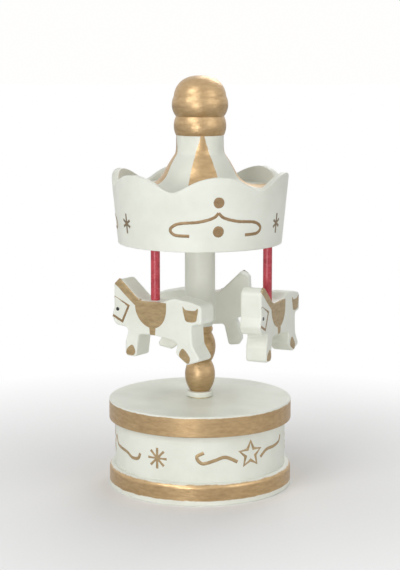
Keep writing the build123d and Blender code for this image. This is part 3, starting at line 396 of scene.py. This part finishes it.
def line_tree(name, wrapped):
    """Tree that turns flat lines into low painted strokes; wrapped repeats them round a wall."""
    tree = bpy.data.node_groups.new(name, "GeometryNodeTree")
    for title, kind in LINE_INPUTS:
        tree.interface.new_socket(title, in_out="INPUT", socket_type="NodeSocket" + kind)
    tree.interface.new_socket("Geometry", in_out="OUTPUT", socket_type="NodeSocketGeometry")
    nodes, links = tree.nodes, tree.links
    given = nodes.new("NodeGroupInput").outputs
    result = nodes.new("NodeGroupOutput").inputs

    def math_node(operation, *values):
        node = nodes.new("ShaderNodeMath")
        node.operation = operation
        for socket, value in zip(node.inputs, values):
            if isinstance(value, bpy.types.NodeSocket):
                links.new(value, socket)
            else:
                socket.default_value = value
        return node.outputs[0]

    # A stroke is thinner where the brush lands and lifts
    curve = nodes.new("GeometryNodeMeshToCurve")
    links.new(given["Geometry"], curve.inputs["Mesh"])
    along = nodes.new("GeometryNodeSplineParameter").outputs["Factor"]
    arch = math_node("POWER", math_node("SINE", math_node("MULTIPLY", along, math.pi)), 0.5)
    taper = nodes.new("GeometryNodeSetCurveRadius")
    links.new(curve.outputs["Curve"], taper.inputs["Curve"])
    links.new(math_node("MULTIPLY_ADD", arch, 0.5, 0.5), taper.inputs["Radius"])
    brush = nodes.new("GeometryNodeCurvePrimitiveCircle")
    brush.inputs["Resolution"].default_value = BRUSH_SIDES
    links.new(math_node("MULTIPLY", given["Line Width"], 0.5), brush.inputs["Radius"])
    stroke = nodes.new("GeometryNodeCurveToMesh")
    links.new(taper.outputs["Curve"], stroke.inputs["Curve"])
    links.new(brush.outputs["Curve"], stroke.inputs["Profile Curve"])
    stroke.inputs["Fill Caps"].default_value = True

    # Flatten the stroke to the height of the paint
    squeeze = nodes.new("ShaderNodeCombineXYZ")
    squeeze.inputs["X"].default_value = 1.0
    squeeze.inputs["Y"].default_value = 1.0
    full_height = math_node("MULTIPLY", given["Paint Height"], 2.0)
    links.new(math_node("DIVIDE", full_height, given["Line Width"]), squeeze.inputs["Z"])
    flat = nodes.new("GeometryNodeTransform")
    links.new(stroke.outputs["Mesh"], flat.inputs["Geometry"])
    links.new(squeeze.outputs[0], flat.inputs["Scale"])
    laid = flat.outputs["Geometry"]

    # Set the copies out side by side, then roll the row up round the wall
    if wrapped:
        all_round = math_node("MULTIPLY", given["Wall Radius"], 2 * math.pi)
        step = math_node("DIVIDE", all_round, given["Repeats"])
        offset = nodes.new("ShaderNodeCombineXYZ")
        links.new(step, offset.inputs["X"])
        row = nodes.new("GeometryNodeMeshLine")
        links.new(given["Repeats"], row.inputs["Count"])
        links.new(offset.outputs[0], row.inputs["Offset"])
        copies = nodes.new("GeometryNodeInstanceOnPoints")
        links.new(row.outputs["Mesh"], copies.inputs["Points"])
        links.new(laid, copies.inputs["Instance"])
        loose = nodes.new("GeometryNodeRealizeInstances")
        links.new(copies.outputs["Instances"], loose.inputs["Geometry"])
        spot = nodes.new("ShaderNodeSeparateXYZ")
        links.new(nodes.new("GeometryNodeInputPosition").outputs[0], spot.inputs[0])
        turn = math_node("DIVIDE", spot.outputs["X"], given["Wall Radius"])
        flare = math_node("MULTIPLY", spot.outputs["Y"], given["Wall Flare"])
        reach = math_node("ADD", math_node("ADD", given["Wall Radius"], flare), spot.outputs["Z"])
        place = nodes.new("ShaderNodeCombineXYZ")
        links.new(math_node("MULTIPLY", reach, math_node("SINE", turn)), place.inputs["X"])
        towards_back = math_node("MULTIPLY", reach, math_node("COSINE", turn))
        links.new(math_node("MULTIPLY", towards_back, -1.0), place.inputs["Y"])
        links.new(math_node("ADD", spot.outputs["Y"], given["Wall Height"]), place.inputs["Z"])
        wrap = nodes.new("GeometryNodeSetPosition")
        links.new(loose.outputs["Geometry"], wrap.inputs["Geometry"])
        links.new(place.outputs[0], wrap.inputs["Position"])
        laid = wrap.outputs["Geometry"]

    real = nodes.new("GeometryNodeRealizeInstances")
    links.new(laid, real.inputs["Geometry"])
    paint = nodes.new("GeometryNodeSetMaterial")
    links.new(real.outputs["Geometry"], paint.inputs["Geometry"])
    links.new(given["Paint"], paint.inputs["Material"])
    links.new(paint.outputs["Geometry"], result["Geometry"])
    return tree


WALL_LINES = line_tree("wall_lines", True)
BOARD_LINES = line_tree("board_lines", False)


def smooth(points, closed=False, steps=6):
    """A round line through the points."""
    points = [Vector((x, y, 0)) for x, y in points]
    count = len(points)
    line = []
    for i in range(count if closed else count - 1):
        if closed:
            near = [points[(i + k - 1) % count] for k in range(4)]
        else:
            near = [points[max(0, min(count - 1, i + k - 1))] for k in range(4)]
        straight_on = near[2] - near[0]
        bend = 2 * near[0] - 5 * near[1] + 4 * near[2] - near[3]
        twist = 3 * near[1] - near[0] - 3 * near[2] + near[3]
        for step in range(steps):
            t = step / steps
            line.append(0.5 * (2 * near[1] + straight_on * t + bend * t * t + twist * t**3))
    if not closed:
        line.append(points[-1])
    return line


def straight(points):
    """The points as they are."""
    return [Vector((x, y, 0)) for x, y in points]


def line_mesh(name, lines):
    """Mesh of loose edges; each entry is (points, closed)."""
    mesh = bpy.data.meshes.new(name)
    corners, edges = [], []
    for points, closed in lines:
        first = len(corners)
        corners += [p * MM for p in points]
        edges += [(first + i, first + i + 1) for i in range(len(points) - 1)]
        if closed:
            edges.append((len(corners) - 1, first))
    mesh.from_pydata(corners, edges, [])
    return mesh


def new_object(name, mesh):
    """Links a new object at the origin."""
    piece = bpy.data.objects.new(name, mesh)
    bpy.context.scene.collection.objects.link(piece)
    return piece


def baked_lines(name, lines, tree, values):
    """Runs a line tree on flat lines and returns the finished plain mesh."""
    drawing = new_object(name + "_drawing", line_mesh(name + "_drawing", lines))
    modifier = drawing.modifiers.new(name, "NODES")
    modifier.node_group = tree
    for item in tree.interface.items_tree:
        if item.in_out == "INPUT" and item.name in values:
            modifier[item.identifier] = values[item.name]
    depsgraph = bpy.context.evaluated_depsgraph_get()
    mesh = bpy.data.meshes.new_from_object(drawing.evaluated_get(depsgraph))
    bpy.data.objects.remove(drawing)
    mesh.name = name
    mesh.polygons.foreach_set("use_smooth", [True] * len(mesh.polygons))
    return mesh


def on_wall(name, lines, body, wall_r, wall_z, repeats, width, flare=0.0, paint=GOLD_LINE):
    """Ornament round a drum or the crown; lines are (along the wall, above wall_z)."""
    mesh = baked_lines(
        name,
        lines,
        WALL_LINES,
        {
            "Line Width": width * MM,
            "Paint Height": RELIEF * MM,
            "Wall Radius": wall_r * MM,
            "Wall Height": wall_z * MM,
            "Wall Flare": flare,
            "Repeats": repeats,
            "Paint": paint,
        },
    )
    piece = new_object(name, mesh)
    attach(piece, body)


def ray_star(x, y, reach, rays):
    """Crossing strokes through one centre."""
    lines = []
    for ray in range(rays // 2):
        angle = math.pi * ray / (rays // 2)
        dx, dy = reach * math.cos(angle), reach * math.sin(angle)
        lines.append((straight([(x - dx, y - dy), (x, y), (x + dx, y + dy)]), False))
    return lines


def small_star(x, y):
    """A tall ray with two short ones across it."""
    lines = []
    for dx, dy in ((0.0, 4.2), (2.6, 1.5), (2.6, -1.5)):
        lines.append((straight([(x - dx, y - dy), (x, y), (x + dx, y + dy)]), False))
    return lines


STAR_POINTS = 5
STAR_WAIST = 0.46  # how far the inner corners of a star reach, as a share of its points


def outline_star(x, y, reach):
    """A five-pointed star drawn as its outline."""
    corners = []
    for k in range(2 * STAR_POINTS):
        angle = math.pi / 2 + math.pi * k / STAR_POINTS
        length = reach if k % 2 == 0 else reach * STAR_WAIST
        corners.append((x + length * math.cos(angle), y + length * math.sin(angle)))
    return [(straight(corners), True)]


def dot(x, y, size):
    """A round dab: short rings that fill a disc."""
    rings = []
    for share in (0.25, 0.75):
        ring = [
            (x + size * share * math.cos(a), y + size * share * math.sin(a))
            for a in [2 * math.pi * k / 16 for k in range(16)]
        ]
        rings.append((straight(ring), True))
    return rings


def arc_mm(azimuth, wall_r):
    """Distance along a wall for an azimuth."""
    return math.radians(azimuth) * wall_r


# ---- Ornament of the drum -----------------------------------------------------------------
DRUM_R = radius("base_drum")
DRUM_MIDDLE = 20.5
DRUM_TURN = 3.0  # degrees by which the whole ornament stands off the front
STAR_OFF = 32.0  # degrees from the middle swirl's centre to the star on either side
# Swirls of the drum, as azimuth and height above the drum's middle
MIDDLE_SWIRL = [
    (-0.5, 1.9), (-5.1, 0.2), (-1.6, -2.7), (6.4, -1.5), (13.6, -0.3), (22.0, -2.8)
]
SIDE_SWIRLS = (
    [(40.5, -2.4), (46.5, 0.2), (55.3, 0.5), (62.6, 1.5), (65.0, 4.0)],
    [(-79, 3.0), (-75, -0.6), (-68, -1.4), (-60, -2.0), (-54, -3.6), (-48, -3.2), (-46, -0.8)],
    [(160, 1.4), (166, -0.4), (173, 0.2), (181, -2.2), (188, -2.6), (192, 0.6)],
)


def along_drum(points):
    """A smooth line through azimuths and heights."""
    return smooth([(arc_mm(azimuth + DRUM_TURN, DRUM_R), up) for azimuth, up in points])


def drum_ornament():
    """Ray stars, outline stars and loose swirls between them."""
    wall = ("base", DRUM_R, DRUM_MIDDLE)
    rays = ray_star(arc_mm(DRUM_TURN - STAR_OFF, DRUM_R), -1.5, 4.5, 8)
    stars = outline_star(arc_mm(DRUM_TURN + STAR_OFF, DRUM_R), -0.2, 5.7)
    middle_lines = [(along_drum(MIDDLE_SWIRL), False)]
    side_lines = [(along_drum(points), False) for points in SIDE_SWIRLS]
    on_wall("drum_ray_stars", rays, *wall, 3, 1.2, paint=DRUM_LINE)
    on_wall("drum_outline_stars", stars, *wall, 3, 1.6, paint=DRUM_LINE)
    on_wall("drum_middle_swirls", middle_lines, *wall, 3, 1.5, paint=DRUM_LINE)
    on_wall("drum_side_swirls", side_lines, *wall, 1, 1.4, paint=DRUM_LINE)


# ---- Ornament of the crown ----------------------------------------------------------------
CROWN_Z0 = bottom("crown")
CROWN_Z1 = top("crown")
CROWN_R0 = radius("canopy_floor")
CROWN_R1 = rim_radius("crown")
CROWN_FLARE = (CROWN_R1 - CROWN_R0) / (CROWN_Z1 - CROWN_Z0)
MOTIF_AZ = 12.0
SMALL_STAR_AZ = 62.0
MOTIF_Z = CROWN_Z0 + 8.6
DOT_R = 1.95
# Right half of the bracket, as distance from the motif's centre and height above MOTIF_Z
BRACKET_HALF = [
    (0.0, 2.9), (2.4, 0.8), (8.4, -0.8), (16.7, -1.6), (20.3, -3.9), (18.6, -6.3), (12.2, -6.7)
]


def crown_ornament():
    """A curly bracket with two dots, and small ray stars between, three times round."""
    wall_r = CROWN_R0 + CROWN_FLARE * (MOTIF_Z - CROWN_Z0)
    centre = arc_mm(MOTIF_AZ, wall_r)
    common = ("carousel", wall_r, MOTIF_Z, 3)
    halves = [[(centre + side * x, up) for x, up in BRACKET_HALF] for side in (1, -1)]
    lines = [(smooth(half), False) for half in halves]
    on_wall("crown_brackets", lines, *common, 1.35, CROWN_FLARE)
    dabs = dot(centre, 7.2, DOT_R) + dot(centre, -4.9, DOT_R)
    on_wall("crown_dots", dabs, *common, 1.9, CROWN_FLARE)
    star = arc_mm(SMALL_STAR_AZ, wall_r)
    rays = small_star(star, -3.3)
    # The small stars take the darker line paint, painted shade for their grazing-angle darkness
    on_wall("crown_ray_stars", rays, *common, 1.2, CROWN_FLARE, paint=SHADED_STAR_LINE)


# ---- Horses -------------------------------------------------------------------------------
HORSE_T = 9.5  # thickness of a horse's board
HORSE_ROUND = 0.8  # rounding of the board's edges
GRID = 0.4  # spacing of the points that follow the board's rounded edges
PROBE = 1.0  # how far off the face the search for the board's surface starts
HORSE_TIP = {1: 0.0, 2: 0.0, 3: 5.0}  # how far each nose is tipped up, in degrees
HORSE_TURN = {1: 0.0, 2: 4.0, 3: 0.0}  # how far each nose is turned in from a tangent
SADDLE_OVER_POLE_END = 9.5  # height of the saddle above the pole's lower end
STRAP_W = 1.5


def pole_place(number):
    """Centre of a pole, in metres, and its azimuth in degrees."""
    middle = (low(f"pole_{number}") + high(f"pole_{number}")) / 2
    return middle, math.degrees(math.atan2(middle.x, -middle.y))


def board_matrix(number):
    """Takes flat points, nose towards +x and the saddle at y 0, to the board's outer face."""
    middle, azimuth = pole_place(number)
    angle = math.radians(azimuth + HORSE_TURN[number])
    tip = math.radians(HORSE_TIP[number])
    level = Vector((-math.cos(angle), -math.sin(angle), 0))
    out = Vector((math.sin(angle), -math.cos(angle), 0))
    ahead = level * math.cos(tip) + Vector((0, 0, math.sin(tip)))
    up = Vector((0, 0, math.cos(tip))) - level * math.sin(tip)
    saddle = Vector((middle.x, middle.y, low(f"pole_{number}").z + SADDLE_OVER_POLE_END * MM))
    place = saddle + out * HORSE_T / 2 * MM
    columns = (ahead, up, out)
    turn = [[column[i] for column in columns] + [0] for i in range(3)] + [[0, 0, 0, 1]]
    return Matrix.Translation(place) @ Matrix(turn)


# Tack on the outer face, as distance ahead of the pole and height above the saddle
SADDLE_CLOTH = [
    (7.2, 0.0), (6.8, -4.4), (4.6, -8.2), (1.4, -10.4), (-1.8, -11.0), (-4.8, -10.3),
    (-7.5, -7.8), (-8.8, -4.2), (-9.0, 0.2),
]
GIRTH = [(-0.2, -10.4), (-3.5, -10.4), (-3.2, -13.9), (-0.6, -13.9)]
MANE = [
    (17.9, 6.3), (16.7, 7.8), (15.1, 8.3), (10.2, 4.5), (6.3, 1.3), (4.0, 0.1), (5.4, -3.0),
    (11.1, 0.8), (16.0, 4.8),
]
HIP_PATCH = [
    (-17.4, -0.4), (-19.0, -1.6), (-23.4, -1.6), (-25.0, -0.6), (-24.6, -4.2), (-23.6, -6.2),
    (-19.4, -6.4), (-18.2, -4.2),
]
FRONT_HOOF = [(8.9, -19.2), (11.6, -21.4), (11.6, -23.5), (8.2, -23.6), (7.3, -21.6)]
REAR_HOOF = [(-17.4, -18.0), (-20.9, -21.3), (-20.4, -23.9), (-18.6, -23.4), (-15.6, -21.2)]
BRIDLE = [(18.2, 0.3), (10.6, -2.7), (14.0, -9.7), (19.0, -7.7)]
EYE = (16.4, -4.6)
EYE_R = 0.8


def patch_mesh(name, outlines, paint, height=RELIEF):
    """Low fields of paint, finely gridded, each a touch higher than the one before."""
    build = bmesh.new()
    for layer, outline in enumerate(outlines):
        lift = height + LAYER_LIFT * layer
        field = bmesh.new()
        ring = [field.verts.new((x * MM, y * MM, -SUNK * MM)) for x, y in outline]
        base = field.faces.new(ring)
        base.normal_update()
        if base.normal.z < 0:
            base.normal_flip()
        for axis in (0, 1):
            spots = [point[axis] for point in outline]
            across = Vector((1 - axis, axis, 0))
            for line in range(math.ceil(min(spots) / GRID), math.ceil(max(spots) / GRID)):
                everything = field.verts[:] + field.edges[:] + field.faces[:]
                bmesh.ops.bisect_plane(
                    field, geom=everything, plane_co=across * line * GRID * MM, plane_no=across
                )
        lifted = bmesh.ops.extrude_face_region(field, geom=field.faces[:])["geom"]
        moved = [v for v in lifted if isinstance(v, bmesh.types.BMVert)]
        bmesh.ops.translate(field, verts=moved, vec=(0, 0, (lift + SUNK) * MM))
        bmesh.ops.recalc_face_normals(field, faces=field.faces)
        part = bpy.data.meshes.new(name)
        field.to_mesh(part)
        field.free()
        build.from_mesh(part)
        bpy.data.meshes.remove(part)
    mesh = bpy.data.meshes.new(name)
    build.to_mesh(mesh)
    build.free()
    mesh.materials.append(paint)
    return mesh


def on_horse(name, number, flat):
    """Lays a flat mesh on the outer face of a horse's board and over its rounded edges."""
    matrix = board_matrix(number)
    out = (matrix.to_3x3() @ Vector((0, 0, 1))).normalized()
    board = NODES[f"horse_{number}"].data
    surface = BVHTree.FromPolygons(
        [v.co for v in board.vertices], [tuple(face.vertices) for face in board.polygons]
    )
    mesh = flat.copy()
    mesh.name = name
    mesh.transform(matrix)
    for v in mesh.vertices:
        foot = v.co - out * (v.co - matrix.translation).dot(out)
        hit = surface.ray_cast(foot + out * PROBE * MM, -out, 2 * PROBE * MM)[0]
        v.co -= out * (HORSE_ROUND * MM if hit is None else (foot - hit).dot(out))
    piece = new_object(name, mesh)
    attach(piece, "carousel")


def rounded(points, closed=True):
    """A smooth outline through the points, as pairs."""
    return [(p.x, p.y) for p in smooth(points, closed)]


def horse_paint():
    """Mane, saddle cloth, hip patch, hooves, bridle and eye on the outer face of each horse."""
    outlines = [rounded(SADDLE_CLOTH, False), GIRTH]
    outlines += [rounded(outline) for outline in (MANE, HIP_PATCH, FRONT_HOOF, REAR_HOOF)]
    fields = patch_mesh("tack_fields", outlines, TACK_GOLD)
    straps = baked_lines(
        "straps",
        [(straight(BRIDLE), False)],
        BOARD_LINES,
        {"Line Width": STRAP_W * MM, "Paint Height": RELIEF * MM, "Paint": GOLD_LINE},
    )
    ring = [2 * math.pi * k / 20 for k in range(20)]
    dab = [(EYE[0] + EYE_R * math.cos(a), EYE[1] + EYE_R * math.sin(a)) for a in ring]
    eye = patch_mesh("eye", [dab], EYE_BLACK, EYE_RELIEF)
    for number in HORSES:
        on_horse(f"horse_{number}_tack", number, fields)
        on_horse(f"horse_{number}_bridle", number, straps)
        on_horse(f"horse_{number}_eye", number, eye)


# ---- Stage --------------------------------------------------------------------------------
PALE = (0.93, 0.93, 0.93)
WHITE = (1.0, 1.0, 1.0, 1)
DAYLIGHT = (1.0, 0.995, 0.985, 1)
FLOOR_REACH = 6.0
SKY_STRENGTH = 0.32  # of the light that the surroundings give
FLOOR_FADE = (0.05, 0.24)  # the floor turns into the white surroundings over this distance


def floor():
    """A wide pale floor that fades into the surroundings for the camera and keeps the shadow."""
    mesh = bpy.data.meshes.new("floor")
    reach = FLOOR_REACH
    corners = [(-reach, -reach, 0), (reach, -reach, 0), (reach, reach, 0), (-reach, reach, 0)]
    mesh.from_pydata(corners, [], [(0, 1, 2, 3)])
    piece = new_object("floor", mesh)
    recipe = Recipe("pale_floor")
    x, y, _ = recipe.axes()
    squares = recipe.math("ADD", recipe.math("MULTIPLY", x, x), recipe.math("MULTIPLY", y, y))
    away = recipe.spread(recipe.math("SQRT", squares), *FLOOR_FADE)
    camera_ray = recipe.nodes.new("ShaderNodeLightPath").outputs["Is Camera Ray"]
    glow = recipe.nodes.new("ShaderNodeEmission")
    glow.inputs["Color"].default_value = WHITE
    mix = recipe.nodes.new("ShaderNodeMixShader")
    recipe.put(mix.inputs["Fac"], recipe.math("MULTIPLY", away, camera_ray))
    recipe.links.new(recipe.shader.outputs[0], mix.inputs[1])
    recipe.links.new(glow.outputs[0], mix.inputs[2])
    recipe.links.new(mix.outputs[0], recipe.nodes["Material Output"].inputs["Surface"])
    mesh.materials.append(recipe.finish(PALE, 0.9))


def surroundings(strength):
    """Soft even light, shown as white to the camera and in reflections."""
    world = bpy.data.worlds.new("studio")
    bpy.context.scene.world = world
    world.use_nodes = True
    nodes, links = world.node_tree.nodes, world.node_tree.links
    path = nodes.new("ShaderNodeLightPath").outputs
    seen = nodes.new("ShaderNodeMath")
    seen.operation = "MAXIMUM"
    links.new(path["Is Camera Ray"], seen.inputs[0])
    mirrored = nodes.new("ShaderNodeMath")
    mirrored.operation = "MAXIMUM"
    links.new(path["Is Glossy Ray"], mirrored.inputs[0])
    links.new(path["Is Transmission Ray"], mirrored.inputs[1])
    links.new(mirrored.outputs[0], seen.inputs[1])
    level = nodes.new("ShaderNodeMix")
    links.new(seen.outputs[0], level.inputs["Factor"])
    level.inputs["A"].default_value = strength
    level.inputs["B"].default_value = 1.0
    links.new(level.outputs["Result"], nodes["Background"].inputs["Strength"])
    nodes["Background"].inputs["Color"].default_value = DAYLIGHT


CAMERA_PLACE = (0.0, -0.683, 0.195)
CAMERA_AIM = (0.0, 0.0, 0.088)
CAMERA_LENS = 100.0  # millimetres, on a 36 mm sensor


def aimed(piece, place, aim):
    """Puts a lamp or camera at its place and turns it towards its aim."""
    piece.location = place
    piece.rotation_euler = (Vector(aim) - Vector(place)).to_track_quat("-Z", "Y").to_euler()
    bpy.context.scene.collection.objects.link(piece)


def lamp(name, place, aim, size, power):
    """A soft square lamp; size in metres and power in watts."""
    light = bpy.data.lights.new(name, "AREA")
    light.size = size
    light.energy = power
    aimed(bpy.data.objects.new(name, light), place, aim)


def camera():
    """Stands a little above the finial, a little over two thirds of a metre in front."""
    data = bpy.data.cameras.new("camera")
    data.sensor_width = 36.0
    data.lens = CAMERA_LENS
    piece = bpy.data.objects.new("camera", data)
    aimed(piece, CAMERA_PLACE, CAMERA_AIM)
    bpy.context.scene.camera = piece


paint_nodes()
drum_ornament()
crown_ornament()
horse_paint()
floor()
surroundings(SKY_STRENGTH)
lamp("key_lamp", (-0.7, -0.9, 0.9), (0, 0, 0.09), 0.7, 5.9)
lamp("front_lamp", (-0.22, -0.8, 0.05), (0, 0, 0.05), 0.3, 2.2)
lamp("fill_lamp", (0.9, -0.7, 0.5), (0, 0, 0.09), 0.8, 2.6)
lamp("back_lamp", (0.3, 0.9, 0.8), (0, 0, 0.1), 0.6, 3.5)
camera()
bpy.context.scene.view_settings.view_transform = "Standard"
